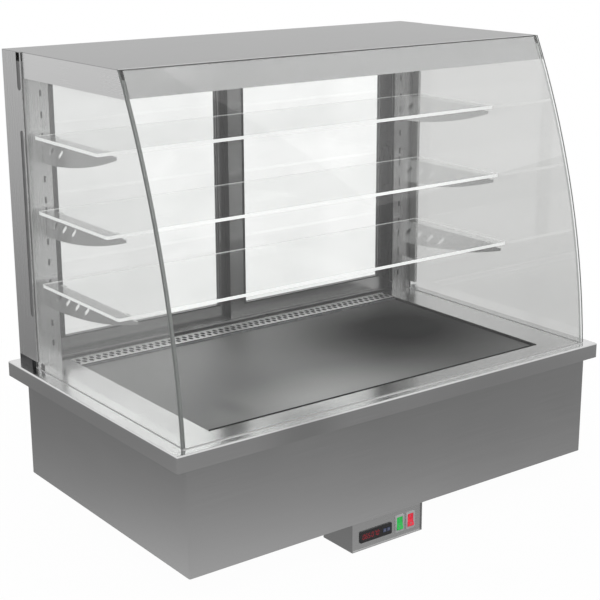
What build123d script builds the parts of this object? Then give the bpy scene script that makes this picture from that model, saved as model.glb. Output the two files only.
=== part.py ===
"""Hot food display counter for a worktop cut-out.

A heated, recessed deck hangs in a steel tub under a worktop rim. Above it stand three glass
shelves on hooked brackets, glass sides, a curved front glass and a flat canopy. The operator
serves through two sliding glass doors at the rear. Millimetres, +Z up, -Y is the customer's
side. The origin is the centre of the rim's lower edge, which rests on the worktop.
"""
from build123d import *
import os
from math import hypot, sqrt, radians, tan

# Worktop rim: the driving sizes of the whole counter
sheet = 1.5
rim_width = 1000
rim_depth = 620
rim_top = 30
lip_return = 8
rim_corner = 3
half_width = rim_width / 2
rim_front = -rim_depth / 2
rim_rear = rim_depth / 2
plate_low = rim_top - sheet

# Tub under the rim, and its service cover
tub_x = half_width - 25
tub_front = rim_front + 11
tub_rear = rim_rear - 30
tub_height = 230
tub_bottom = rim_top - tub_height
fold_radius = 3
cover_x = tub_x - 260
cover_y = (tub_front + 224, tub_rear - 65)
cover_lap = 25
gland_x = tub_x - 75
gland_z = tub_bottom + 50
gland_bore = 5
gland_thread = 8
gland_hex = 12
gland_cap = (10, 10)
gland_nut = 5

# Opening in the rim, deck and warm-air strip
opening_x = half_width - 105
opening_front = rim_front + 69
opening_rear = rim_rear - 65
opening_fold = 7.5
strip_depth = 48
deck_gap = 3
deck_recess = 5
deck_thickness = 3
deck_rear = opening_rear - strip_depth
deck_top = rim_top - deck_recess
deck_low = deck_top - deck_thickness
ledge = 17
tray_depth = 50
tray_low = rim_top - tray_depth
wool_margin = 8
wool_thickness = 30
wool_top = tray_low + wool_thickness
grille_clearance = 0.5
grille_leg = 5
grille_front = deck_rear + deck_gap
grille_y = (grille_front + opening_rear) / 2
hole_pitch = 15
hole_size = 6.5
hole_rows = 2
hole_sides = 4
hole_margin = 12

# Deck heater and probe
heater_radius = 4
heater_runs = 4
heater_pitch = (deck_rear - opening_front) / (heater_runs + 0.2)
heater_x = opening_x - 75
heater_sides = 6
heater_gap = 0.2
heater_z = deck_low - heater_radius - heater_gap
clip_size = (14, 16)
probe_radius = 3
probe_length = 50
probe_foot = 12

# Warm-air duct, its heater, and the fan below it
duct_x = opening_x - 7
duct_y = (grille_front + 2.5, opening_rear - 2.5)
duct_low = rim_top - 98
duct_wall = 1.2
duct_heater_radius = 5
fin_count = 12
fin_size = 24
fin_thickness = 2
fan_z = duct_low - 37
fan_radius = 30
fan_x = 180
fan_clearance = 5.5
blade_count = 12
blade_width = 10
blade_thickness = 1.5
blade_turn = 25
disc_thickness = 3
bearing_gap = 10
shaft_radius = 4
shaft_clearance = 0.08
motor_size = 58
motor_length = 50
motor_chamfer = 6

# Curved front glass: its outer face through foot and head, seen from the side
front_glass_thickness = 6
glass_foot_y = rim_front + 18
glass_head_y = rim_front + 180
glass_radius = 1600
seal = 1
roof_top = 633
roof_low = roof_top - sheet
canopy_height = 47
canopy_low = roof_top - canopy_height
fascia_gap = 0.7

# Rear frame: jambs, side glasses, posts and door tracks
jamb_outer = half_width - 19
jamb_inner = jamb_outer - 48
jamb_front = rim_rear - 69
jamb_lap = jamb_front - 21
jamb_foot = 17
jamb_low = rim_top + jamb_foot
long_slot = (rim_top + 105, roof_top - 143)
short_slot = (roof_top - 70, roof_top + 4)
slot_widths = (12, 14)
glass_thickness = 5
side_glass_outer = jamb_outer - 6.5
side_glass_inner = side_glass_outer - glass_thickness
side_glass_rear = jamb_front - 1.5
side_glass_top = canopy_low + 29
cap_outer = side_glass_outer + 3
clip_height = 14
post_y = jamb_front - 6
post_outer = side_glass_inner - 1
post_inner = post_outer - 50.5
post_slot_x = post_inner + 16
post_return = 8
post_top = side_glass_top - 5
slot_pitch = 40
slot_first = 44
slot_count = 13
slot_width = 4
slot_height = 12
track_front = jamb_front + 15
track_fin = 2
track_base = 1.5
track_height = 6
channel = 15.5
jamb_rear = track_front + 3 * track_fin + 2 * channel
header_low = roof_low - 45
header_channel = 22

# Sliding doors
door_thickness = 12
door_side_gap = 2
door_lap = 9
stile = 36
rail = 36
door_glass_thickness = 5
door_groove = 8
groove_gap = 0.2
door_seat = 0.4
door_outer = jamb_inner - door_side_gap
door_low = rim_top + track_base + door_seat
door_high = header_low + 14
front_door_y = track_front + track_fin + (channel - door_thickness) / 2
rear_door_y = front_door_y + track_fin + channel
pull_size = (18, 90)
pull_wall = 2
door_middle = (door_low + door_high) / 2
pull_z = (door_middle - pull_size[1] / 2, door_middle + pull_size[1] / 2)

# Shelves and brackets, each lower shelf deeper than the one above
shelf_names = ("top", "middle", "bottom")
shelf_heights = (slot_first + 10 * slot_pitch, slot_first + 6.5 * slot_pitch, slot_first + 3 * slot_pitch)
shelf_depths = (235, 257, 286)
shelf_x = side_glass_inner - 6.5
shelf_rear = post_y - 25
shelf_glass = 6
shelf_corner = 5
pad_size = (6, 16, 1)
bracket_thickness = 3
bracket_reach = 13
bracket_height = 50
bracket_tip = 6
bracket_bulge = 11
bracket_gap = 0.3
bracket_slot = (26, 8)
bracket_slot_turn = -40
bracket_slot_pitch = 36.5
bracket_slot_start = 33.5
bracket_slot_drop = 24
bracket_slot_chamfer = 2.6
tooth = 3

# Lamp in the canopy
lamp_y = (glass_head_y + post_y) / 2 - 42
lamp_radius = 8
lamp_z = canopy_low + 22
lamp_x = opening_x - 115
lamp_window = (lamp_x - 10, 30)
holder_size = (24, 22, 12)

# Control box under the tub's front edge, with its controller and two switches
box_left = -125
box_right = 44
box_height = 56
box_low = tub_bottom - box_height
box_rear = tub_front + 86
face_recess = 2
face_y = tub_front + face_recess
controller_left = box_left + 18.5
controller_right = controller_left + 76
controller_half = 11.25
controller_z = tub_bottom - 31
controller_depth = 55
controller_inset = 3
controller_corner = 1.5
window_x = (controller_left + 2, controller_left + 52)
window_half = 8.75
window_depth = 1
key_half = 3.3
key_gap = 0.2
key_pitch = 9.5
key_inset = 8
key_proud = 0.6
key_length = 5.6
key_room = 2
switch_z = tub_bottom - 27.75
switch_xs = (controller_right + 19.5, controller_right + 46)
switch_bezel = (20.5, 33.5)
switch_body = (18, 30)
switch_length = 28
switch_chamfer = 1.5
pivot_y = tub_front + 6
rocker_radius = 14
rocker_width = 14
rocker_clearance = 0.4
rocker_valley = 5
rocker_tilt = 8
rocker_slope = rocker_tilt + 1
pin_radius = 1.2
pin_length = 1.4
pin_sides = 8


def block(x, y, z):
    """A box given by its low and high value along each axis."""
    size = (x[1] - x[0], y[1] - y[0], z[1] - z[0])
    return Pos(x[0], y[0], z[0]) * Box(*size, align=(Align.MIN,) * 3)


def both(half, low, high):
    """A box that reaches the same distance to the left and to the right."""
    return block((-half, half), low, high)


def along_x(outline, x0, x1):
    """Carries an outline, drawn as (y, z), from x0 to x1."""
    return extrude(Plane.YZ.offset(x0) * outline, x1 - x0)


def rod_x(radius, y, z, x0, x1):
    """A round bar along X."""
    return along_x(Pos(y, z) * Circle(radius), x0, x1)


def rod_y(radius, x, z, y0, y1):
    """A round bar along Y."""
    return extrude(Plane.XZ.offset(-y0) * Pos(x, z) * Circle(radius), -(y1 - y0))


def hexagon_y(radius, x, z, y0, y1):
    """A six-sided bar along Y."""
    return extrude(Plane.XZ.offset(-y0) * Pos(x, z) * RegularPolygon(radius, 6), -(y1 - y0))


def mirrored(shape):
    """The same piece on the other side of the counter."""
    return mirror(shape, about=Plane.YZ)


# The centre of the front glass's arc lies behind the middle of its chord
chord_y = glass_head_y - glass_foot_y
chord_z = roof_top - rim_top
chord = hypot(chord_y, chord_z)
reach = sqrt(glass_radius**2 - (chord / 2) ** 2)
arc_y = (glass_foot_y + glass_head_y) / 2 + reach * chord_z / chord
arc_z = (rim_top + roof_top) / 2 - reach * chord_y / chord


def on_arc(inset, z):
    """The point at height z on the arc that lies a given way inside the glass's outer face."""
    radius = glass_radius - inset
    return (arc_y - sqrt(radius**2 - (z - arc_z) ** 2), z)


def arc_edge(inset, z0, z1):
    """A stretch of that arc between two heights."""
    return ThreePointArc(on_arc(inset, z0), on_arc(inset, (z0 + z1) / 2), on_arc(inset, z1))


def arc_sheet(inset, thickness, z0, z1, x):
    """A curved sheet that follows the front glass."""
    outer = arc_edge(inset, z0, z1)
    inner = arc_edge(inset + thickness, z0, z1)
    edges = [outer, inner, Line(outer @ 0, inner @ 0), Line(outer @ 1, inner @ 1)]
    return along_x(make_face(edges), -x, x)


def behind_arc(inset, z0, z1, rear, x0, x1):
    """A flat plate whose front edge follows the front glass."""
    front = arc_edge(inset, z0, z1)
    back = Polyline(front @ 1, (rear, z1), (rear, z0), front @ 0)
    return along_x(make_face([front, back]), x0, x1)


def worktop_rim():
    """A flat frame with turned-down lips, a return that rests on the worktop, and a folded opening."""
    outer = both(half_width, (rim_front, rim_rear), (0, rim_top))
    outer = fillet(outer.edges().filter_by(Axis.Z) + outer.edges().group_by(Axis.Z)[-1], rim_corner)
    hollow = both(half_width - sheet, (rim_front + sheet, rim_rear - sheet), (sheet, plate_low))
    seat = both(half_width - lip_return, (rim_front + lip_return, rim_rear - lip_return), (0, sheet))
    fold_low = rim_top - opening_fold
    fold = both(opening_x + sheet, (opening_front - sheet, opening_rear + sheet), (fold_low, plate_low))
    hole = both(opening_x, (opening_front, opening_rear), (0, rim_top))
    return outer - hollow - seat + fold - hole


def tub_casing():
    """The outer tub, open under the rim, with a service opening and the gland's hole."""
    walls = both(tub_x, (tub_front, tub_rear), (tub_bottom, plate_low))
    walls = fillet(walls.edges().filter_by(Axis.Z), fold_radius)
    low = tub_bottom + sheet
    inside = both(tub_x - sheet, (tub_front + sheet, tub_rear - sheet), (low, plate_low))
    service = both(cover_x - cover_lap, (cover_y[0] + cover_lap, cover_y[1] - cover_lap), (tub_bottom, low))
    gland_hole = rod_y(gland_thread, gland_x, gland_z, tub_rear - 2 * sheet, tub_rear)
    return walls - inside - service - gland_hole


def service_cover():
    """The plate that closes the tub from below."""
    return both(cover_x, cover_y, (tub_bottom - sheet, tub_bottom))


def mains_gland():
    """A cable gland through the tub's rear wall, with its nut inside."""
    cap_width, cap_length = gland_cap
    nut_rear = tub_rear - sheet
    cap_rear = tub_rear + gland_nut + cap_length
    gland = hexagon_y(gland_hex, gland_x, gland_z, tub_rear, tub_rear + gland_nut)
    gland += hexagon_y(cap_width, gland_x, gland_z, tub_rear, cap_rear)
    gland += hexagon_y(gland_hex, gland_x, gland_z, nut_rear - gland_nut, nut_rear)
    gland += rod_y(gland_thread, gland_x, gland_z, nut_rear, tub_rear)
    return gland - rod_y(gland_bore, gland_x, gland_z, nut_rear - gland_nut, cap_rear)


def deck_tray():
    """The inner tray that carries deck, heater and insulation, hung under the rim."""
    wall = opening_x + sheet + 0.5
    front = opening_front - sheet - 0.5
    rear = grille_front - sheet
    shell = both(wall + sheet, (front - sheet, grille_front), (tray_low - sheet, plate_low))
    inside = both(wall, (front, rear), (tray_low, plate_low))
    ring = both(wall, (front, rear), (deck_low - sheet, deck_low))
    ring_hole = both(wall - ledge, (front + ledge, rear - ledge), (deck_low - sheet, deck_low))
    notch = block((opening_x - 1, wall), (rear, grille_front), (rim_top - opening_fold - 1, plate_low))
    return shell - inside + (ring - ring_hole) - notch - mirrored(notch)


def heated_deck():
    """The recessed hot plate that the food stands on."""
    deck = both(opening_x - deck_gap, (opening_front + deck_gap, deck_rear), (deck_low, deck_top))
    return fillet(deck.edges().filter_by(Axis.Z), fold_radius)


def insulation_slab():
    """Mineral wool between the heater and the tray's floor."""
    y = (opening_front + wool_margin, grille_front - wool_margin)
    return both(opening_x - wool_margin, y, (tray_low, wool_top))


def heater_rows():
    """The heater's runs, front to rear, about the middle of the deck."""
    middle = (opening_front + deck_rear) / 2
    return [middle + (i - (heater_runs - 1) / 2) * heater_pitch for i in range(heater_runs)]


def deck_heater():
    """One tubular element bent back and forth under the deck."""
    path = []
    for i, y in enumerate(heater_rows()):
        side = 1 if i % 2 == 0 else -1
        end = Vector(side * heater_x, y, heater_z)
        path.append(Line((-side * heater_x, y, heater_z), end))
        if i < heater_runs - 1:
            middle = end + Vector(side * heater_pitch / 2, heater_pitch / 2, 0)
            path.append(ThreePointArc(end, middle, end + Vector(0, heater_pitch, 0)))
    wire = Wire(path)
    start = Plane(origin=wire @ 0, z_dir=wire % 0)
    return sweep(start * RegularPolygon(heater_radius, heater_sides), path=wire)


def heater_clips():
    """Cradles on the insulation that hold the heater's runs up to the deck."""
    width, depth = clip_size
    clips = []
    for y in heater_rows():
        for x in (-heater_x * 2 / 3, heater_x * 2 / 3):
            foot = Pos(x, y, (wool_top + heater_z) / 2) * Box(width, depth, heater_z - wool_top)
            room = heater_radius + heater_gap
            clips.append(foot - block((x - width, x + width), (y - room, y + room), (heater_z - room, heater_z)))
    return clips


def deck_probe():
    """A temperature probe held against the deck's underside."""
    rows = heater_rows()
    y = (rows[1] + rows[2]) / 2
    z = deck_low - probe_radius - heater_gap
    half = probe_foot / 2
    foot = block((-half, half), (y - half, y + half), (wool_top, z))
    return rod_x(probe_radius, y, z, -probe_length / 2, probe_length / 2) + foot


def air_grille():
    """The perforated strip behind the deck that the warm air rises through."""
    half = opening_x - grille_clearance
    y0, y1 = grille_front + grille_clearance, opening_rear - grille_clearance
    strip = both(half, (y0, y1), (rim_top - grille_leg, rim_top))
    strip -= both(half, (y0 + sheet, y1 - sheet), (rim_top - grille_leg, plate_low))
    count = int((2 * half - 2 * hole_margin) / hole_pitch)
    row_gap = hole_pitch * sqrt(3) / 2
    holes = Sketch()
    for row in range(hole_rows):
        shift = hole_pitch * (row % 2 - 0.5) / 2
        y = grille_y + (row - (hole_rows - 1) / 2) * row_gap
        places = GridLocations(hole_pitch, 1, count, 1)
        holes += Pos(shift, y) * places * RegularPolygon(hole_size / 2, hole_sides)
    return strip - extrude(Pos(0, 0, plate_low) * holes, sheet)


def air_duct():
    """The panels of the channel that leads the warm air up to the strip, open below over the fan."""
    z = (duct_low, plate_low)
    inside_y = (duct_y[0] + duct_wall, duct_y[1] - duct_wall)
    front = both(duct_x, (duct_y[0], inside_y[0]), z)
    rear = both(duct_x, (inside_y[1], duct_y[1]), z)
    end = block((duct_x - duct_wall, duct_x), inside_y, z)
    floor = block((fan_x, duct_x - duct_wall), inside_y, (duct_low, duct_low + duct_wall))
    return [front, rear, end, mirrored(end), floor, mirrored(floor)]


def air_heater():
    """A finned rod across the duct."""
    half = duct_x - duct_wall
    z = (duct_low + rim_top) / 2
    heater = along_x(Pos(grille_y, z) * RegularPolygon(duct_heater_radius, heater_sides), -half, half)
    pitch = 1.6 * half / fin_count
    for i in range(fin_count):
        x = (i - (fin_count - 1) / 2) * pitch
        fin = Pos(x, grille_y, z) * Box(fin_thickness, fin_size, fin_size)
        heater += fin
    return heater


def fan_shroud():
    """The fan's scroll housing under the duct's floor, open below at the front."""
    half = fan_x + bearing_gap
    inner = fan_radius + fan_clearance
    outer = inner + sheet
    neck = (duct_y[1] - duct_y[0]) / 2 - duct_wall - 0.5
    housing = rod_x(outer, grille_y, fan_z, -half, half)
    housing += both(half, (grille_y - neck, grille_y + neck), (fan_z, duct_low))
    housing -= rod_x(inner, grille_y, fan_z, -half + sheet, half - sheet)
    housing -= both(half - sheet, (grille_y - neck + sheet, grille_y + neck - sheet), (fan_z, duct_low))
    intake_y = (grille_y - outer, grille_y - blade_width)
    housing -= both(half - sheet, intake_y, (fan_z - outer, fan_z + shaft_radius))
    return housing - rod_x(shaft_radius + shaft_clearance, grille_y, fan_z, -half, half)


def fan_rotor():
    """The cross-flow rotor: blades between two discs, with its shaft stubs."""
    end = fan_x + bearing_gap
    rotor = rod_x(shaft_radius, grille_y, fan_z, -end, end + motor_length / 2)
    rotor += rod_x(fan_radius, grille_y, fan_z, -fan_x, -fan_x + disc_thickness)
    rotor += rod_x(fan_radius, grille_y, fan_z, fan_x - disc_thickness, fan_x)
    blade = Rot(0, 0, blade_turn) * Rectangle(blade_width, blade_thickness)
    blades = Sketch() + PolarLocations(fan_radius - blade_width / 2 - 0.5, blade_count) * blade
    return rotor + along_x(Pos(grille_y, fan_z) * blades, -fan_x + 2, fan_x - 2)


def fan_motor():
    """The fan's motor on the shroud's right end, a laminated block around the shaft's end."""
    start = fan_x + bearing_gap
    side = chamfer(Rectangle(motor_size, motor_size).vertices(), motor_chamfer)
    motor = along_x(Pos(grille_y, fan_z) * side, start, start + motor_length)
    socket = shaft_radius + shaft_clearance
    return motor - rod_x(socket, grille_y, fan_z, start, start + motor_length / 2 + 1)


def bottom_track():
    """The low double channel that the doors' lower edges run in."""
    base = both(jamb_inner, (track_front, jamb_rear), (rim_top, rim_top + track_base))
    for i in range(3):
        y = track_front + i * (channel + track_fin)
        base += both(jamb_inner, (y, y + track_fin), (rim_top, rim_top + track_height))
    return base


def top_track():
    """The header between the jambs, with two channels that hold the doors' upper edges."""
    web = header_low + header_channel
    head = both(jamb_inner, (track_front, jamb_rear), (header_low, roof_low))
    for i in range(2):
        y = track_front + track_fin + i * (channel + track_fin)
        head -= both(jamb_inner, (y, y + channel), (header_low, web))
    y = (track_front + track_fin, jamb_rear - track_fin)
    return head - both(jamb_inner, y, (web + track_fin, roof_low - track_fin))


def jamb():
    """The right jamb: a folded channel whose outer wall laps the side glass and has two long slots."""
    z = (jamb_low, roof_low)
    channel_x = (jamb_inner + sheet, jamb_outer - sheet)
    body = block((jamb_inner, jamb_outer), (jamb_front, jamb_rear), z)
    body -= block(channel_x, (jamb_front + sheet, jamb_rear - sheet), z)
    body += block((jamb_outer - sheet, jamb_outer), (jamb_lap, jamb_front), z)
    middle = (jamb_lap + jamb_front) / 2 - 1
    for (low, high), width in zip((long_slot, short_slot), slot_widths):
        slot = Pos(middle, (low + high) / 2) * SlotOverall(high - low, width, rotation=90)
        body -= along_x(slot, jamb_outer - sheet, jamb_outer)
    return body


def jamb_feet():
    """Dark plastic feet under the jambs."""
    foot = block((jamb_inner, jamb_outer), (jamb_front, jamb_rear), (rim_top, jamb_low))
    return [foot, mirrored(foot)]


def slot_places():
    """Heights of the posts' slots: an even row, and the middle bracket's own pair between them."""
    row = [slot_first + i * slot_pitch for i in range(slot_count)]
    middle = shelf_heights[1]
    return [(post_slot_x, rim_top + z) for z in row + [middle, middle - slot_pitch]]


def post():
    """The right slotted post, a folded channel that stands in front of the jamb."""
    z = (rim_top, post_top)
    face = block((post_inner, post_outer), (post_y, post_y + sheet), z)
    for x in (post_inner + post_return, post_outer - post_return - sheet):
        face += block((x, x + sheet), (post_y + sheet, jamb_front), z)
    slots = Sketch() + Locations(*slot_places()) * Rectangle(slot_width, slot_height)
    return face - extrude(Plane.XZ.offset(-post_y - sheet) * slots, sheet)


def bracket(order):
    """The right bracket of a shelf: two hooks, a straight top, a curved underside and slanted slots."""
    top = rim_top + shelf_heights[order]
    tip = shelf_rear - shelf_depths[order] - bracket_reach
    back = post_y - bracket_gap
    hook_front = post_y + sheet + bracket_gap
    hook_rear = hook_front + tooth
    outline = [(tip, top), (back, top)]
    for seat in (top, top - slot_pitch):
        neck_high = seat - 4 * bracket_gap
        tooth_low = seat - slot_height
        neck_low = seat - slot_height / 2 + bracket_gap
        outline += [(back, neck_high), (hook_rear, neck_high), (hook_rear, tooth_low)]
        outline += [(hook_front, tooth_low), (hook_front, neck_low), (back, neck_low)]
    outline.append((back, top - bracket_height))
    low_tip = (tip, top - bracket_tip)
    middle = ((back + tip) / 2, top - (bracket_height + bracket_tip) / 2 - bracket_bulge)
    under = ThreePointArc(outline[-1], middle, low_tip)
    web = make_face([Polyline(*outline), under, Line(low_tip, outline[0])])
    opening = chamfer(Rectangle(*bracket_slot).vertices(), bracket_slot_chamfer)
    for i in range(order + 2):
        y = back - bracket_slot_start - i * bracket_slot_pitch
        web -= Pos(y, top - bracket_slot_drop) * Rot(0, 0, bracket_slot_turn) * opening
    half = bracket_thickness / 2
    return along_x(web, post_slot_x - half, post_slot_x + half)


def shelf(order):
    """A glass shelf that rests on the pads of its two brackets."""
    low = rim_top + shelf_heights[order] + pad_size[2]
    pane = both(shelf_x, (shelf_rear - shelf_depths[order], shelf_rear), (low, low + shelf_glass))
    return fillet(pane.edges().filter_by(Axis.Z), shelf_corner)


def shelf_pads():
    """Soft pads between brackets and shelves."""
    width, depth, height = pad_size
    pads = []
    for order in range(len(shelf_names)):
        low = rim_top + shelf_heights[order]
        front = shelf_rear - shelf_depths[order]
        for y in (front + depth, shelf_rear - 2 * depth):
            pad = Pos(post_slot_x, y, low + height / 2) * Box(width, depth, height)
            pads += [pad, mirrored(pad)]
    return pads


def canopy_shell():
    """The roof sheet with the fascia behind the front glass."""
    fascia_inset = front_glass_thickness + fascia_gap
    front = on_arc(front_glass_thickness, roof_top)[0] + fascia_gap / 2
    roof = both(cap_outer, (front, jamb_lap), (roof_low, roof_top))
    roof += both(jamb_outer, (jamb_lap, jamb_rear), (roof_low, roof_top))
    return roof + arc_sheet(fascia_inset, sheet, canopy_low, roof_low, post_outer)


def canopy_end():
    """The right end cap."""
    inset = front_glass_thickness + fascia_gap / 2
    return behind_arc(inset, canopy_low, roof_low, jamb_lap - 1, cap_outer - sheet, cap_outer)


def canopy_pan():
    """The canopy's underside, with a long opening for the lamp's light."""
    high = canopy_low + sheet
    front = on_arc(front_glass_thickness + fascia_gap + sheet, high)[0] + 0.2
    pan = both(post_outer, (front, post_y - 1), (canopy_low, high))
    half, depth = lamp_window
    return pan - both(half, (lamp_y - depth, lamp_y + depth), (canopy_low, high))


def lamp_tube():
    """The lamp over the pan's opening."""
    return rod_x(lamp_radius, lamp_y, lamp_z, -lamp_x, lamp_x)


def lamp_holders():
    """Sockets at the lamp's ends, standing on the pan."""
    length, depth, above = holder_size
    y = (lamp_y - depth / 2, lamp_y + depth / 2)
    holder = block((lamp_x, lamp_x + length), y, (canopy_low + sheet, lamp_z + above))
    return [holder, mirrored(holder)]


def side_glass():
    """The right side glass; its front edge follows the front glass."""
    inset = front_glass_thickness + 0.5
    z = (rim_top + seal, side_glass_top)
    return behind_arc(inset, *z, side_glass_rear, side_glass_inner, side_glass_outer)


def front_glass():
    """The large curved front glass, from the rim to the roof's front corner."""
    return arc_sheet(0, front_glass_thickness, rim_top + seal, roof_top, cap_outer - 0.5)


def glass_seals():
    """Seals under the glasses, and dark strips between side glasses and jambs."""
    z = (rim_top, rim_top + seal)
    front_y = on_arc(0, z[1])[0]
    front_back = on_arc(front_glass_thickness, z[1])[0]
    front = both(cap_outer - 0.5, (front_y, front_back), z)
    side = block((side_glass_inner, side_glass_outer), (front_back + seal, side_glass_rear), z)
    strip_x = (side_glass_outer, jamb_outer - sheet)
    strip = block(strip_x, (jamb_lap, jamb_front - 1), (jamb_low, side_glass_top))
    return [front, side, mirrored(side), strip, mirrored(strip)]


def glass_clips():
    """Small dark clips that hold the side glasses' feet."""
    x = (side_glass_inner - 7, side_glass_inner)
    clip = block(x, (post_y - 30, post_y - 14), (rim_top, rim_top + clip_height))
    clip = chamfer(clip.edges().filter_by(Axis.X).group_by(Axis.Z)[-1], 3)
    return [clip, mirrored(clip)]


def door_span(side):
    """The left and right edge of a door."""
    return (-door_lap, door_outer) if side == "right" else (-door_outer, door_lap)


def door_faces(side):
    """The front and rear face of a door's frame."""
    front = front_door_y if side == "right" else rear_door_y
    return (front, front + door_thickness)


def pull_span(side):
    """The left and right edge of the finger pull, on the stile at the outer jamb."""
    middle = door_outer - stile / 2 if side == "right" else -door_outer + stile / 2
    return (middle - pull_size[0] / 2, middle + pull_size[0] / 2)


def pane_space(side, lap, half):
    """The space in a door's frame that a pane takes: how far it laps the frame, and half its thickness."""
    x0, x1 = door_span(side)
    middle = sum(door_faces(side)) / 2
    x = (x0 + stile - lap, x1 - stile + lap)
    return block(x, (middle - half, middle + half), (door_low + rail - lap, door_high - rail + lap))


def door_frame(side):
    """Stiles and rails around a door's glass, with a hole for the finger pull."""
    faces = door_faces(side)
    frame = block(door_span(side), faces, (door_low, door_high))
    frame -= pane_space(side, 0, door_thickness / 2)
    frame -= pane_space(side, door_groove + 2 * groove_gap, door_glass_thickness / 2 + groove_gap)
    return frame - block(pull_span(side), faces, pull_z)


def door_glass(side):
    """A door's pane, held in its frame's groove."""
    return pane_space(side, door_groove, door_glass_thickness / 2)


def door_pull(side):
    """A recessed finger pull that the operator slides the door with."""
    x0, x1 = pull_span(side)
    front, rear = door_faces(side)
    pocket_x = (x0 + pull_wall, x1 - pull_wall)
    pocket_z = (pull_z[0] + pull_wall, pull_z[1] - pull_wall)
    return block((x0, x1), (front, rear), pull_z) - block(pocket_x, (front + pull_wall, rear), pocket_z)


def control_shell():
    """The control box's folded shell under the tub's front edge, open at the front."""
    shell = block((box_left, box_right), (tub_front, box_rear), (box_low, tub_bottom))
    inside_x = (box_left + sheet, box_right - sheet)
    return shell - block(inside_x, (tub_front, box_rear - sheet), (box_low + sheet, tub_bottom))


def control_face():
    """The recessed face plate, cut out for the controller and the switches."""
    y = (face_y, face_y + sheet)
    plate = block((box_left + sheet, box_right - sheet), y, (box_low + sheet, tub_bottom))
    plate -= controller_body(y)
    for x in switch_xs:
        plate -= switch_block(x, switch_body, y)
    return plate


def controller_body(y):
    """The part of the controller behind its front frame."""
    half = controller_half - controller_inset
    x = (controller_left + controller_inset, controller_right - controller_inset)
    return block(x, y, (controller_z - half, controller_z + half))


def switch_block(x, size, y):
    """A block of a switch, centred on the switch."""
    width, height = size
    return block((x - width / 2, x + width / 2), y, (switch_z - height / 2, switch_z + height / 2))


def key_places():
    """The middles of the controller's two keys."""
    last = controller_right - key_inset
    return {"key_up": last - key_pitch, "key_down": last}


def key_block(x, half, y):
    """A square block at a key's place."""
    return block((x - half, x + half), y, (controller_z - half, controller_z + half))


def window_block(margin):
    """The display window's place in the controller's front."""
    half = window_half - margin
    x = (window_x[0] + margin, window_x[1] - margin)
    return block(x, (tub_front, tub_front + window_depth), (controller_z - half, controller_z + half))


def controller_case():
    """The controller's dark case with its front frame, window pocket and key holes."""
    z = (controller_z - controller_half, controller_z + controller_half)
    case = block((controller_left, controller_right), (tub_front, face_y), z)
    case = chamfer(case.edges().filter_by(Axis.Y), controller_corner)
    case += controller_body((face_y, face_y + controller_depth))
    case -= window_block(0)
    hole_rear = tub_front - key_proud + key_length + key_room
    for x in key_places().values():
        case -= key_block(x, key_half + key_gap, (tub_front, hole_rear))
    return case


def controller_key(x):
    """A small square key that springs back."""
    front = tub_front - key_proud
    return key_block(x, key_half, (front, front + key_length))


def switch_cavity(x):
    """The round pocket that a rocker turns in, with its pin holes."""
    half = rocker_width / 2 + 0.3
    reach = half + pin_length
    pocket = rod_x(rocker_radius + rocker_clearance, pivot_y, switch_z, x - half, x + half)
    pin_hole = RegularPolygon(pin_radius + rocker_clearance, pin_sides)
    return pocket + along_x(Pos(pivot_y, switch_z) * pin_hole, x - reach, x + reach)


def switch_housings():
    """The two switches' frames and bodies."""
    housings = []
    for x in switch_xs:
        bezel = switch_block(x, switch_bezel, (tub_front, face_y))
        bezel = chamfer(bezel.edges().filter_by(Axis.Y), switch_chamfer)
        body = switch_block(x, switch_body, (face_y, face_y + switch_length))
        housings.append(bezel + body - switch_cavity(x))
    return housings


def rocker(x):
    """A rocker whose two flat faces meet in a shallow valley, with its upper end pressed in."""
    rise = 2 * rocker_radius * tan(radians(rocker_slope))
    edge = -rocker_valley - rise
    far = 2 * rocker_radius
    front = [(-rocker_valley, 0), (edge, far), (far, far), (far, -far), (edge, -far)]
    outline = Circle(rocker_radius) & make_face(Polyline(*front, close=True))
    half = rocker_width / 2
    body = along_x(outline, -half, half)
    body += along_x(RegularPolygon(pin_radius, pin_sides), -half - pin_length, half + pin_length)
    return Pos(x, pivot_y, switch_z) * Rot(-rocker_tilt, 0, 0) * body


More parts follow.
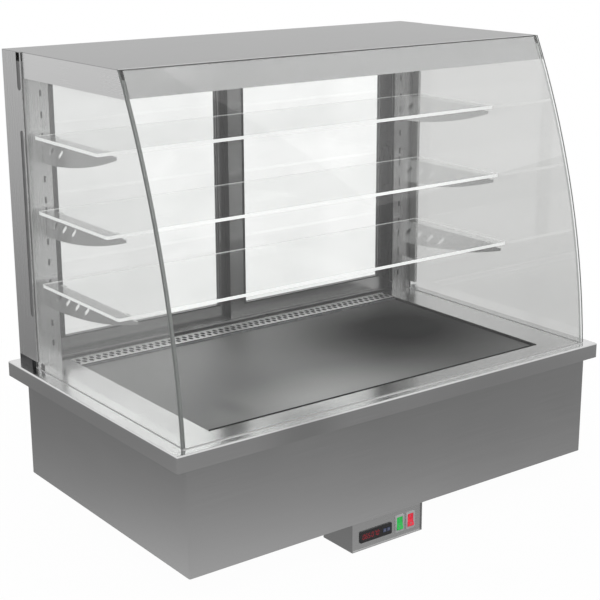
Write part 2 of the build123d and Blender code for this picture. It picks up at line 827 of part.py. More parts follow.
def build_pieces():
    """Every node's name and its solid or solids."""
    pieces = {
        "worktop_rim": worktop_rim(),
        "tub_casing": tub_casing(),
        "service_cover": service_cover(),
        "mains_gland": mains_gland(),
        "deck_tray": deck_tray(),
        "heated_deck": heated_deck(),
        "insulation_slab": insulation_slab(),
        "deck_heater": deck_heater(),
        "heater_clips": heater_clips(),
        "deck_probe": deck_probe(),
        "air_grille": air_grille(),
        "air_duct": air_duct(),
        "air_heater": air_heater(),
        "fan_shroud": fan_shroud(),
        "fan_rotor": fan_rotor(),
        "fan_motor": fan_motor(),
        "bottom_track": bottom_track(),
        "top_track": top_track(),
        "jamb_feet": jamb_feet(),
        "shelf_pads": shelf_pads(),
        "canopy_shell": canopy_shell(),
        "canopy_pan": canopy_pan(),
        "lamp_tube": lamp_tube(),
        "lamp_holders": lamp_holders(),
        "front_glass": front_glass(),
        "glass_seals": glass_seals(),
        "glass_clips": glass_clips(),
        "control_shell": control_shell(),
        "control_face": control_face(),
        "controller_case": controller_case(),
        "controller_window": window_block(0.2),
        "switch_housings": switch_housings(),
        "rocker_green": rocker(switch_xs[0]),
        "rocker_red": rocker(switch_xs[1]),
    }
    pairs = {"jamb": jamb(), "post": post(), "canopy_end": canopy_end(), "side_glass": side_glass()}
    for order, name in enumerate(shelf_names):
        pieces[f"shelf_{name}"] = shelf(order)
        pairs[f"bracket_{name}"] = bracket(order)
    for name, piece in pairs.items():
        pieces[f"{name}_right"] = piece
        pieces[f"{name}_left"] = mirrored(piece)
    for name, x in key_places().items():
        pieces[name] = controller_key(x)
    for side in ("left", "right"):
        pieces[f"door_{side}_frame"] = door_frame(side)
        pieces[f"door_{side}_glass"] = door_glass(side)
        pieces[f"door_{side}_pull"] = door_pull(side)
    return pieces


os.makedirs("parts", exist_ok=True)
for node, piece in build_pieces().items():
    solids = piece if isinstance(piece, list) else list(piece.solids())
    export_step(Compound(children=solids) if len(solids) > 1 else solids[0], f"parts/{node}.step")
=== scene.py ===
"""The hot food display counter in its finishes, in metres, in the frame of its solids.

The counter's long glass front faces -Y, the operator's doors face +Y, and the worktop rim's lower
edge is at z = 0. The solids keep their places; this script adds finishes, the small trim that the
solids leave out, and a plain white studio.
"""
from math import cos, pi, radians, sin, tan

import bmesh
import bpy
import numpy as np
from mathutils import Matrix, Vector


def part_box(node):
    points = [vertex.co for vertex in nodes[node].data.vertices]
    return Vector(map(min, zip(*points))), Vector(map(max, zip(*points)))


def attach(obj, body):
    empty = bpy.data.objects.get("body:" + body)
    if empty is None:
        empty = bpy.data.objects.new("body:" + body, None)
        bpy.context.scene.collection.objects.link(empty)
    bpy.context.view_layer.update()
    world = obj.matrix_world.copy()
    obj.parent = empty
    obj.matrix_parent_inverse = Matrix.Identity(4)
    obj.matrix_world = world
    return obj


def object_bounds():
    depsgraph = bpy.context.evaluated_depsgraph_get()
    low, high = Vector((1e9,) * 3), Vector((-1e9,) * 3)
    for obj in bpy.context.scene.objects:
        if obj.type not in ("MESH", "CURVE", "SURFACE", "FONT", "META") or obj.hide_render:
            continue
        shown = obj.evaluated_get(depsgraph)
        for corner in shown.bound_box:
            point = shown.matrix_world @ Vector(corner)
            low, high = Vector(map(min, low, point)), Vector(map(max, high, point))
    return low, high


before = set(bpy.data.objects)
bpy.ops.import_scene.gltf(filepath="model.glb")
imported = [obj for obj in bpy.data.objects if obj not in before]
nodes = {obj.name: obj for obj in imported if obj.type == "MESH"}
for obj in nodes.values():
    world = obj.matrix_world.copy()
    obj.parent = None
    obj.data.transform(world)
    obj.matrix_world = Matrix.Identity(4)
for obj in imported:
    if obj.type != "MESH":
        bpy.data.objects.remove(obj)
cad_low, cad_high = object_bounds()
scene = bpy.context.scene

# Camera: where it stands, how it is turned in degrees, and its lens and sensor in millimetres
CAMERA_PLACE = (-1.601, -2.1162, 0.8966)
CAMERA_YAW = 36.78
CAMERA_PITCH = 15.98
CAMERA_ROLL = -0.18
CAMERA_LENS = 84.2
CAMERA_SENSOR = 36
CAMERA_REACH = 50

# Studio: what steel mirrors at each height above or below the horizon, in degrees
MIRRORED_ROOM = (
    (-90, 0.55), (-30, 0.52), (-27, 0.47), (-23.5, 0.26), (-20, 0.20), (-15, 0.33),
    (-8, 0.55), (-3, 0.62), (1, 0.80), (9, 0.90), (14, 0.96), (20, 1.0), (90, 1.0),
)
ROOM_LIGHT = 0.75

# Floor: how far it lies below the counter, how white the eye sees it, and where that turns to white
FLOOR_DROP = 0.002
FLOOR_WHITE = 0.975
FLOOR_FADE = (0.6, 1.3)
FLOOR_REACH = 9.0

# Lamps: name, place, the point each one faces, width in metres, and power in watts
LAMPS = (
    ("key_box", (-2.2, -2.0, 2.6), (0, 0, 0.1), 1.8, 26),
    ("fill_box", (2.4, -1.8, 2.0), (0, 0, 0.1), 2.0, 12),
    ("rear_box", (0.6, 2.4, 2.2), (0, 0, 0.2), 2.0, 12),
)


def grey(level):
    """A colour with the same level in red, green and blue."""
    return (level, level, level)


# Shades of the steel: one stainless steel in lit and shaded copies, painted lighter or darker part by part
BRIGHT = grey(0.70)
CANOPY = grey(0.66)
CASING = grey(0.66)
FRAME = grey(0.40)
SHADED = grey(0.38)
FOOT_LIT = grey(0.76)
STRIP = grey(0.85)
PALE = grey(0.94)

# Colours of the mouldings, lamps and marks
BLACK_RUBBER = grey(0.006)
CHARCOAL = (0.022, 0.022, 0.024)
DUCT_BLACK_SHADE = (0.02, 0.02, 0.021)
MOTOR_BLACK = (0.03, 0.03, 0.032)
SWITCH_GREY = (0.55, 0.55, 0.56)
KEY_BLUE = (0.10, 0.12, 0.22)
LENS_GREEN = (0.0, 0.46, 0.06)
LENS_RED = (0.75, 0.0, 0.03)
DIGIT_RED = (0.50, 0.01, 0.03)
PALE_INK = (0.30, 0.31, 0.30)

# Tints of the glass, and the haze of its ground edges
CLEAR = (0.985, 0.99, 0.985)
LEFT_TINT = (0.955, 0.96, 0.955)
SMOKED = (0.62, 0.62, 0.615)
SHELF_TINT = (0.995, 1.0, 0.995)
DARK_EDGE = (0.2, 0.21, 0.205)
EDGE = (0.52, 0.54, 0.53)
SHELF_EDGE = (0.93, 0.94, 0.935)

# Grain of brushed steel: how finely its noise is cut along each axis, for each way it is brushed
GRAINS = {"x": (6, 900, 900), "y": (900, 6, 900), "z": (900, 900, 6), "level": (6, 6, 900)}
GRAIN_DEPTH = 0.000006

# Shares of a steel's shade that stay where painted shade darkens it
FASCIA_SHARE = 0.37
HOLE_WALL_SHARE = 0.03
HOLE_RING_SHARE = 0.02
CASING_TOP_SHARE = 0.78
STILE_SHARE = 0.52
FLANK_SHARE = 0.62

# Faces count as square to an axis, or as facing along one, from these parts of their normal
SQUARE = 0.95
FACING = 0.69
FACING_BLEND = 0.02

# Spots of painted light and shade on a finish: centre, reach along each axis, and strength
FASCIA_END = ((-0.50, -0.20, 0.60), (0.26, 0.5, 0.5), 0.5)
RIM_REFLECTION_SPOTS = (
    ((-0.24, -0.275, 0.03), (0.13, 0.08, 0.3), 0.38),
    ((0.25, -0.275, 0.03), (0.30, 0.08, 0.3), 0.12),
)
DECK_REFLECTION_SPOTS = (
    ((-0.10, -0.25, 0.025), (0.36, 0.20, 0.3), 0.48),
    ((0.27, 0.02, 0.025), (0.40, 0.36, 0.3), -0.50),
    ((-0.29, -0.17, 0.025), (0.04, 0.08, 0.3), -0.09),
)

# The strip's holes: each row's first hole and its place along Y, and where the painted shade round each
# hole fades
HOLE_PITCH = 0.015
HOLE_ROWS = ((-0.37875, 0.216), (-0.37125, 0.229))
HOLE_SHADE_RING = (0.0041, 0.0045)
HOLE_OVAL = 0.6

# Stretches over which a finish changes, along Y, Z, Z and X
STRIP_FRONT = (0.1985, 0.1995)
CASING_RISE = (-0.19, 0.0)
STILE_RISE = (0.066, 0.080)
SEAL_DARK_END = (-0.4785, -0.4735)

# Trim that stands upright: x, y, foot, head, width and depth
JAMB_BRUSH = (0.4321, 0.2512, 0.049, 0.584, 0.0016, 0.0158)
MEETING_BRUSH = (-0.0096, 0.2664, 0.038, 0.584, 0.0011, 0.0128)

# Trim that lies level, black seals that also paint the shadow in their gaps: start, end, height and depth
FRONT_SEAL_SHADE = ((-0.3935, -0.2395, 0.0267), (0.3935, -0.2395, 0.0267), 0.0092, 0.0024)
END_SEAL_SHADE = ((0.3941, -0.2375, 0.0263), (0.3941, 0.1955, 0.0263), 0.0056, 0.0012)
TRACK_SEAL_SHADE = ((-0.4305, 0.2535, 0.0311), (0.4305, 0.2535, 0.0311), 0.0018, 0.0036)

# Tape on the front of the jambs, behind the posts' slots, painted shade seen through them: its bands from x
# to x
JAMB_FRONT = 0.241
SLOT_SHADE_BANDS = ((0.4277, 0.4586), (0.4609, 0.4785))
SLOT_SHADE_RISE = (0.049, 0.61)
SLOT_SHADE_GAP = 0.0001
SLOT_SHADE_THICKNESS = 0.0007

# Doors' panes from x to x with their front face's place along Y, and the gaskets that lap them
DOOR_PANES = {"right": (0.027, 0.395, 0.25975), "left": (-0.395, -0.027, 0.27725)}
DOOR_FOOT = 0.0679
DOOR_HEAD = 0.5645
GASKET_LAP = 0.003
GASKET_WIDTH = {"right": 0.0055, "left": 0.0115}
GASKET_NARROW = 0.0026
GASKET_THICKNESS = 0.0005
GASKET_SINK = 0.00015
GASKET_OVERLAP = 0.0002

# The controller's digits: each row's left end and figures, and the strokes that make a figure
DIGIT_ROWS = ((-0.1005, "065"), (-0.0795, "070"))
DIGIT_STROKES = {"0": "abcdef", "5": "acdfg", "6": "acdefg", "7": "abc"}
STROKE_ENDS = {
    "a": (0, 2, 1, 2), "b": (1, 1, 1, 2), "c": (1, 0, 1, 1), "d": (0, 0, 1, 0),
    "e": (0, 0, 0, 1), "f": (0, 1, 0, 2), "g": (0, 1, 1, 1),
}
DIGIT_FACE = -0.29905
DIGIT_FOOT = -0.2354
DIGIT_STEP = 0.0064
DIGIT_WIDTH = 0.0042
DIGIT_HEIGHT = 0.0088
DIGIT_LEAN = 0.11
STROKE_INSET = 0.12
STROKE_OUTLINE = (0.0010, 0.0002)
STROKE_TAPER = 0.0005
STROKE_PINCH = 0.6

# The keys' arrows: body, place along X and way up, then the outline and the film's two faces
KEY_ARROWS = (("up_key", -0.048, 1), ("down_key", -0.0385, -1))
ARROW = ((-0.0014, -0.0009), (0.0014, -0.0009), (0.0, 0.0015))
ARROW_FILM = (-0.29955, -0.29978)
ARROW_HEIGHT = -0.231
ARROW_TAPER = 0.00006

# Rockers: body and place along X, the pivot's y and z, tilt, and the slope of each half, in degrees
ROCKERS = (("green_rocker", -0.011), ("red_rocker", 0.0155))
ROCKER_PIVOT = (-0.293, -0.22775)
ROCKER_TILT = -8
ROCKER_SLOPE = 9
ROCKER_FACE = 0.005
ROCKER_MARK = 0.0072
MARK_LIFT = 0.00002
ON_MARK_REACH = 0.002
ON_MARK_OUTLINE = (0.0008, 0.0003)
ON_MARK_TAPER = 0.0002
OFF_MARK_RADIUS = 0.0018
OFF_MARK_OUTLINE = (0.0007, 0.0003)

# Cover screws: places, the height of the cover, and their outline as radius and height
COVER_SCREWS = [(x, y) for x in (-0.203, 0.0, 0.203) for y in (-0.063, 0.233)]
COVER_HEIGHT = -0.2015
SCREW_OUTLINE = (
    (0.0004, 0.0008), (0.0012, 0.0008), (0.0014, 0.0020),
    (0.0026, 0.0017), (0.0035, 0.0009), (0.0037, 0.0),
)

# The lamp's collars: their place along X, and their radius, wall and length
COLLAR_PLACE = 0.2685
COLLAR_RADIUS = 0.0084
COLLAR_WALL = 0.0006
COLLAR_LENGTH = 0.0120

# A direction that lies along none of the axes that a section is turned about
OFF_AXIS = (0.3, 0.5, 0.8)


class Finish:
    """A material being mixed: its nodes, and its one Principled shader."""

    def __init__(self, name, colour=(0.8, 0.8, 0.8), **values):
        self.material = bpy.data.materials.new(name)
        self.material.use_nodes = True
        self.tree = self.material.node_tree
        self.shader = self.tree.nodes["Principled BSDF"]
        self.output = self.tree.nodes["Material Output"]
        self.shader.inputs["Base Color"].default_value = (*colour, 1)
        for socket, value in values.items():
            self.shader.inputs[socket.replace("_", " ")].default_value = value

    def add(self, kind, **values):
        """A node with its properties, or its inputs, set by name."""
        node = self.tree.nodes.new("ShaderNode" + kind)
        for name, value in values.items():
            if hasattr(node, name):
                setattr(node, name, value)
            else:
                node.inputs[name.replace("_", " ")].default_value = value
        return node

    def link(self, source, target):
        """Joins an output to an input."""
        self.tree.links.new(source, target)

    def math(self, operation, *values):
        """The result of one operation on values, each an output or a plain number."""
        node = self.add("Math", operation=operation)
        for socket, value in zip(node.inputs, values):
            if isinstance(value, (int, float)):
                socket.default_value = value
            else:
                self.link(value, socket)
        return node.outputs["Value"]

    def length(self, vector):
        """How long a vector is."""
        node = self.add("VectorMath", operation="LENGTH")
        self.link(vector, node.inputs[0])
        return node.outputs["Value"]

    def place(self, stretch, shift=(0, 0, 0)):
        """Object coordinates, scaled along each axis and then shifted."""
        mapping = self.add("Mapping", Scale=stretch, Location=shift)
        self.link(self.add("TexCoord").outputs["Object"], mapping.inputs["Vector"])
        return mapping.outputs["Vector"]

    def along(self, axis):
        """The object's own coordinate along an axis, in metres."""
        split = self.add("SeparateXYZ")
        self.link(self.add("TexCoord").outputs["Object"], split.inputs["Vector"])
        return split.outputs[axis]

    def noise(self, stretch, detail=3, roughness=0.55):
        """A grey noise in a space that is stretched along each axis."""
        noise = self.add("TexNoise", Scale=1, Detail=detail, Roughness=roughness)
        self.link(self.place(stretch), noise.inputs["Vector"])
        return noise.outputs["Fac"]

    def between(self, source, low, high, start=0.3, stop=0.7):
        """A value that runs from low to high as the source runs from start to stop."""
        ramp = self.add("MapRange", From_Min=start, From_Max=stop, To_Min=low, To_Max=high)
        self.link(source, ramp.inputs["Value"])
        return ramp.outputs["Result"]

    def facing(self, *axes, least=FACING):
        """One on faces that look along one of the axes, and zero on the others."""
        split = self.add("SeparateXYZ")
        self.link(self.add("NewGeometry").outputs["True Normal"], split.inputs["Vector"])
        largest = 0.0
        for axis in axes:
            largest = self.math("MAXIMUM", largest, self.math("ABSOLUTE", split.outputs[axis]))
        return self.between(largest, 0, 1, least, least + FACING_BLEND)

    def spot(self, centre, reach, strength):
        """Its strength at a place, falling smoothly to zero at its reach along each axis."""
        stretch = [1 / r for r in reach]
        shift = [-c / r for c, r in zip(centre, reach)]
        fall = self.add("MapRange", interpolation_type="SMOOTHSTEP", To_Min=strength, To_Max=0)
        self.link(self.length(self.place(stretch, shift)), fall.inputs["Value"])
        return fall.outputs["Result"]

    def tone(self, source, dark, light, start=0.3, stop=0.7):
        """The base colour, from dark to light as the source runs from start to stop."""
        ramp = self.add("ValToRGB")
        for mark, position, colour in zip(ramp.color_ramp.elements, (start, stop), (dark, light)):
            mark.position = position
            mark.color = (*colour, 1)
        self.link(source, ramp.inputs["Fac"])
        self.link(ramp.outputs["Color"], self.shader.inputs["Base Color"])

    def rough(self, source):
        """The roughness, from a value."""
        self.link(source, self.shader.inputs["Roughness"])

    def relief(self, source, depth, strength=1.0):
        """Raises the surface where the source is bright, by up to depth metres."""
        bump = self.add("Bump", Strength=strength, Distance=depth)
        self.link(source, bump.inputs["Height"])
        self.link(bump.outputs["Normal"], self.shader.inputs["Normal"])

    def mix(self, share, first, second):
        """Two shaders, mixed so that a share of one is the second alone."""
        mix = self.add("MixShader")
        self.link(share, mix.inputs["Fac"])
        self.link(first, mix.inputs[1])
        self.link(second, mix.inputs[2])
        return mix.outputs["Shader"]


def brushed_steel(name, grain, shade, roughness, streak=0.02, mottle=0.02, dim=(), grazing=1.0):
    """Brushed stainless steel.

    Noise stretched along the grain gives its fine streaks, in tone, gloss and relief, and a broad
    noise gives the faint clouds that handling and rolling leave. Each function in dim takes the
    finish and gives a share of the shade that is kept, face by face or place by place: painted
    light and shade. Grazing is how much of its sheen the steel keeps where it is seen almost edge-on.
    """
    steel = Finish(name, Metallic=1, Specular_Tint=(*grey(grazing), 1))
    streaks = steel.noise(GRAINS[grain], detail=4)
    level = steel.between(streaks, 1 - 1.5 * streak, 1)
    for share in dim:
        level = steel.math("MULTIPLY", level, share(steel))
    steel.tone(level, grey(0), shade, 0, 1)
    clouds = steel.noise((5, 5, 5), detail=2)
    fine = steel.between(streaks, roughness - streak / 2, roughness + streak)
    broad = steel.between(clouds, -mottle / 2, mottle / 2)
    steel.rough(steel.math("ADD", fine, broad))
    steel.relief(streaks, GRAIN_DEPTH, strength=0.2)
    return steel.material


def fascia_painted_shade(steel):
    """Painted shade: the fascia leans back and would mirror the ceiling, so it is painted darker than the
    roof.
    """
    square = steel.facing("X", "Y", "Z", least=SQUARE)
    share = steel.math("MAXIMUM", square, steel.spot(*FASCIA_END))
    return steel.between(share, FASCIA_SHARE, 1, 0, 1)


def painted_hole_shade(steel):
    """The strip's holes in painted shade: their walls and a ring round each are painted dark.

    Each row repeats at its pitch, so a place's distance to the nearest hole is that of the
    pitch's ping-pong along X, together with its distance to the row along Y.
    """
    front_leg = steel.between(steel.along("Y"), 1, 0, *STRIP_FRONT)
    outer = steel.math("MAXIMUM", steel.facing("Z"), front_leg)
    level = steel.between(outer, HOLE_WALL_SHARE, 1, 0, 1)
    for start, row in HOLE_ROWS:
        past_first = steel.math("SUBTRACT", steel.along("X"), start)
        off_row = steel.math("SUBTRACT", steel.along("Y"), row)
        away = steel.add("CombineXYZ")
        steel.link(steel.math("PINGPONG", past_first, HOLE_PITCH / 2), away.inputs["X"])
        steel.link(steel.math("MULTIPLY", off_row, HOLE_OVAL), away.inputs["Y"])
        ring_shade = steel.between(steel.length(away.outputs["Vector"]), HOLE_RING_SHARE, 1, *HOLE_SHADE_RING)
        level = steel.math("MULTIPLY", level, ring_shade)
    return level


def casing_painted_reflection(steel):
    """Painted reflection: the casing is painted paler towards its foot, where it would mirror more of the
    pale floor.
    """
    return steel.between(steel.along("Z"), 1, CASING_TOP_SHARE, *CASING_RISE)


def painted_stile_shade(steel):
    """Painted shade: the doors' upright stiles are painted darker, as they mirror less of the room than the
    rails.
    """
    return steel.between(steel.along("Z"), 1, STILE_SHARE, *STILE_RISE)


def shaded_flank(steel):
    """The control box's ends look away from the light."""
    return steel.between(steel.facing("X"), 1, FLANK_SHARE, 0, 1)


def rim_painted_reflection(steel):
    """Painted reflection: soft darker spots on the rim's front strip, where it mirrors the room's far side.
    """
    clouds = [steel.spot(*cloud) for cloud in RIM_REFLECTION_SPOTS]
    return steel.between(steel.math("ADD", *clouds), 1, 0, 0, 1)


def galvanised(name):
    """Zinc-coated sheet: crystals of slightly different grey, each with its own gloss."""
    zinc = Finish(name, Metallic=1)
    crystals = zinc.add("TexVoronoi", feature="F1", Scale=1)
    zinc.link(zinc.place((70, 70, 70)), crystals.inputs["Vector"])
    spangle = zinc.add("SeparateColor")
    zinc.link(crystals.outputs["Color"], spangle.inputs["Color"])
    zinc.tone(spangle.outputs["Red"], (0.36, 0.37, 0.39), (0.52, 0.53, 0.54), 0.0, 1.0)
    zinc.rough(zinc.between(spangle.outputs["Green"], 0.34, 0.5, 0.0, 1.0))
    zinc.relief(crystals.outputs["Distance"], 0.00004, strength=0.3)
    return zinc.material


def moulded(name, colour, roughness, grain=900, depth=0.00005, shine=0.5):
    """Moulded plastic or rubber: an even, fine eroded grain over a colour that clouds a little."""
    plastic = Finish(name, IOR=1.48, Specular_IOR_Level=shine)
    pits = plastic.noise((grain,) * 3, detail=2)
    clouds = plastic.noise((18, 18, 18), detail=3)
    plastic.tone(clouds, [c * 0.82 for c in colour], [c * 1.12 for c in colour])
    plastic.rough(plastic.between(pits, roughness - 0.06, roughness + 0.08))
    plastic.relief(pits, depth, strength=0.4)
    return plastic.material


def silicone(name):
    """Sealing silicone: clear and pale on the right, darker and grey at its far left end."""
    seal = Finish(name, IOR=1.45)
    clouds = seal.noise((40, 40, 40), detail=3)
    paler_right = seal.between(seal.along("X"), 0.0, 0.66, *SEAL_DARK_END)
    shade = seal.math("ADD", paler_right, seal.between(clouds, 0.14, 0.2))
    seal.tone(shade, grey(0), grey(1), 0, 1)
    seal.rough(seal.between(clouds, 0.3, 0.42))
    return seal.material


def mineral_wool(name):
    """Pressed wool: pale fibres tangled over darker gaps."""
    wool = Finish(name, Sheen_Weight=0.25, Sheen_Roughness=0.6)
    fibres = wool.noise((160, 160, 420), detail=6, roughness=0.7)
    wool.tone(fibres, (0.35, 0.32, 0.22), (0.72, 0.68, 0.52), 0.35, 0.65)
    wool.rough(wool.between(fibres, 0.85, 0.98))
    wool.relief(fibres, 0.0015)
    return wool.material


def sheathed_heater(name):
    """A heating tube's sheath: nickel alloy stained by heat in uneven bands."""
    sheath = Finish(name, Metallic=1)
    stains = sheath.noise((9, 60, 60), detail=4)
    sheath.tone(stains, (0.14, 0.115, 0.10), (0.36, 0.32, 0.29), 0.35, 0.65)
    sheath.rough(sheath.between(stains, 0.32, 0.52))
    sheath.relief(stains, 0.00008, strength=0.4)
    return sheath.material


def deck_plate(name):
    """The deck's rolled plate: finely brushed, with a painted reflection in its tone.

    The tone is a sum of soft spots in the plate's own measures, a painted reflection: dark towards
    the far right corner, paler along the front edge and the left end.
    """
    plate = Finish(name, Metallic=1, Specular_Tint=(*grey(0.5), 1))
    level = plate.between(plate.noise((4, 4, 4), detail=2), 0.43, 0.47)
    for reflection_spot in DECK_REFLECTION_SPOTS:
        level = plate.math("ADD", level, plate.spot(*reflection_spot))
    plate.tone(level, grey(0), grey(0.8), 0.0, 1.0)
    streaks = plate.noise(GRAINS["x"], detail=4)
    plate.rough(plate.between(streaks, 0.52, 0.58))
    return plate.material


def glass(name, tint, edge, edge_axes, glow=None, haze=0, veil=0.02):
    """Float glass that bends light, with ground edges.

    Lamps reach what stands behind it through a clear stand-in of the same tint. Its edges, the
    faces that look along the given axes, are ground to a pale haze, and a glow gives the axes and
    the strength of those that shine by their own emission, a painted highlight. A share of haze
    lies on the whole pane, and a veil of wiped smears clouds its tint.
    """
    pane = Finish(name, tint, IOR=1.5, Emission_Color=(1, 1, 1, 1))
    ground = pane.facing(*edge_axes)
    wiped = pane.between(pane.noise((5, 5, 9), detail=3), 0, veil, 0.35, 0.65)
    pane.tone(pane.math("MAXIMUM", ground, wiped), tint, edge, 0.0, 1.0)
    pane.link(pane.between(ground, 1 - haze, 0.1, 0.0, 1.0), pane.shader.inputs["Transmission Weight"])
    # Painted highlight: the edges chosen by glow shine by their own emission, though no lamp is there.
    if glow:
        axes, strength = glow
        lit = pane.between(pane.facing(*axes), 0, strength, 0.0, 1.0)
        pane.link(lit, pane.shader.inputs["Emission Strength"])
    pane.rough(pane.between(ground, 0, 0.4, 0.0, 1.0))
    path = pane.add("LightPath")
    passing = pane.math("MAXIMUM", path.outputs["Is Shadow Ray"], path.outputs["Is Diffuse Ray"])
    clear = pane.add("BsdfTransparent", Color=(*tint, 1))
    shown = pane.mix(passing, pane.shader.outputs["BSDF"], clear.outputs["BSDF"])
    pane.link(shown, pane.output.inputs["Surface"])
    return pane.material


def lamp_glass(name):
    """The lamp's frosted tube: milky, with a soft uneven coating inside."""
    tube = Finish(name, IOR=1.5, Emission_Strength=0.35, Emission_Color=(1, 0.93, 0.82, 1))
    coating = tube.noise((14, 60, 60), detail=3)
    tube.tone(coating, (0.80, 0.79, 0.76), (0.90, 0.89, 0.87))
    tube.rough(tube.between(coating, 0.28, 0.42))
    return tube.material


def display_window(name):
    """The smoked cover over the controller's digits."""
    window = Finish(name, Coat_Weight=0.6, Coat_Roughness=0.05)
    scratches = window.noise((900, 900, 60), detail=3)
    window.tone(scratches, (0.006, 0.003, 0.004), (0.016, 0.007, 0.009))
    window.rough(window.between(scratches, 0.08, 0.2))
    return window.material


def rocker_lens(name, colour, glow):
    """A rocker's tinted plastic, faintly lit all over by the lamp behind it."""
    lens = Finish(name, IOR=1.49, Coat_Weight=0.5, Coat_Roughness=0.08,
                  Emission_Strength=glow, Emission_Color=(*colour, 1))
    ribs = lens.noise((300, 300, 300), detail=2)
    lens.tone(ribs, [c * 0.8 for c in colour], [min(1, c * 1.1 + 0.01) for c in colour])
    lens.rough(lens.between(ribs, 0.22, 0.34))
    lens.relief(ribs, 0.00003, strength=0.3)
    return lens.material


def glowing(name, colour, strength):
    """A lit mark: an even glow over a colour that a fine haze clouds."""
    mark = Finish(name, Emission_Strength=strength, Emission_Color=(*colour, 1))
    haze = mark.noise((700, 700, 700), detail=2)
    mark.tone(haze, [c * 0.35 for c in colour], [c * 0.6 for c in colour])
    mark.rough(mark.between(haze, 0.4, 0.55))
    return mark.material


def printed(name, colour):
    """A printed mark: ink with a slightly uneven film."""
    ink = Finish(name)
    film = ink.noise((1200, 1200, 1200), detail=3)
    ink.tone(film, [c * 0.85 for c in colour], colour)
    ink.rough(ink.between(film, 0.45, 0.65))
    return ink.material


def dress(finish, *names):
    """Puts a finish on CAD nodes."""
    for name in names:
        for slot in nodes[name].material_slots:
            slot.material = finish


def sides(*names):
    """The left and the right node of each name."""
    return [f"{name}_{side}" for name in names for side in ("left", "right")]


def dress_steel():
    """The sheet steel, from the rim down to the control box."""
    # Each part gets a lit or shaded copy of one steel: painted light and shade.
    dress(brushed_steel("rim_steel", "x", BRIGHT, 0.2, dim=[rim_painted_reflection]), "worktop_rim")
    dress(brushed_steel("strip_steel", "x", STRIP, 0.55, dim=[painted_hole_shade], grazing=0.5), "air_grille")
    canopy = brushed_steel("canopy_steel", "x", CANOPY, 0.15, dim=[fascia_painted_shade], grazing=0.58)
    dress(canopy, "canopy_shell")
    dress(brushed_steel("pan_steel", "x", BRIGHT, 0.26), "canopy_pan")
    dress(brushed_steel("track_steel", "x", SHADED, 0.26), "bottom_track", "top_track")
    dress(brushed_steel("cap_steel", "level", PALE, 0.26), *sides("canopy_end"))
    dress(brushed_steel("upright_steel", "z", BRIGHT, 0.26), *sides("jamb"), "post_left")
    dress(brushed_steel("shaded_post_steel", "z", SHADED, 0.26), "post_right")
    bracket = brushed_steel("bracket_steel", "y", BRIGHT, 0.24)
    dress(bracket, *sides("bracket_top", "bracket_middle", "bracket_bottom"), "glass_clips")
    door = brushed_steel("door_steel", "z", FRAME, 0.24, dim=[painted_stile_shade])
    dress(door, "door_left_frame", "door_right_frame")
    dress(deck_plate("deck_steel"), "heated_deck")
    casing = brushed_steel("tub_steel", "level", FOOT_LIT, 0.2, dim=[casing_painted_reflection])
    dress(casing, "tub_casing", "service_cover")
    box = brushed_steel("box_steel", "x", CASING, 0.26, dim=[shaded_flank])
    dress(box, "control_shell", "control_face")


def dress_works():
    """What heats and moves the air, and the mouldings and seals round it."""
    # The duct's black enamel also paints the shade seen through the strip's holes.
    dress(moulded("duct_enamel_shade", DUCT_BLACK_SHADE, 0.5), "air_duct")
    dress(galvanised("zinc_sheet"), "deck_tray", "fan_shroud", "fan_rotor", "heater_clips")
    dress(sheathed_heater("heater_sheath"), "deck_heater", "air_heater", "deck_probe")
    dress(mineral_wool("pressed_wool"), "insulation_slab")
    dress(moulded("motor_enamel", MOTOR_BLACK, 0.45), "fan_motor")
    dress(moulded("dark_moulding", CHARCOAL, 0.42), "jamb_feet", "controller_case",
          "door_left_pull", "door_right_pull", "mains_gland", "lamp_holders")
    dress(moulded("grey_moulding", SWITCH_GREY, 0.42), "switch_housings")
    dress(silicone("clear_silicone"), "glass_seals", "shelf_pads")
    dress(moulded("key_plastic", KEY_BLUE, 0.38), "key_up", "key_down")
    dress(lamp_glass("lamp_tube_glass"), "lamp_tube")
    dress(display_window("window_smoke"), "controller_window")
    dress(rocker_lens("green_lens", LENS_GREEN, 0.3), "rocker_green")
    dress(rocker_lens("red_lens", LENS_RED, 0.3), "rocker_red")


def dress_glass():
    """The panes and the shelves."""
    # The front pane's top edge glows: a painted highlight.
    dress(glass("front_pane", CLEAR, DARK_EDGE, "XZ", glow=("Z", 0.3)), "front_glass")
    dress(glass("left_pane", LEFT_TINT, DARK_EDGE, "YZ", haze=0.10), "side_glass_left")
    dress(glass("right_pane", SMOKED, EDGE, "YZ"), "side_glass_right")
    dress(glass("door_pane", CLEAR, EDGE, "XZ", veil=0.2), "door_left_glass", "door_right_glass")
    # The shelves' edges glow: a painted highlight.
    shelf = glass("shelf_pane", SHELF_TINT, SHELF_EDGE, "XY", glow=("XY", 0.36))
    dress(shelf, "shelf_top", "shelf_middle", "shelf_bottom")


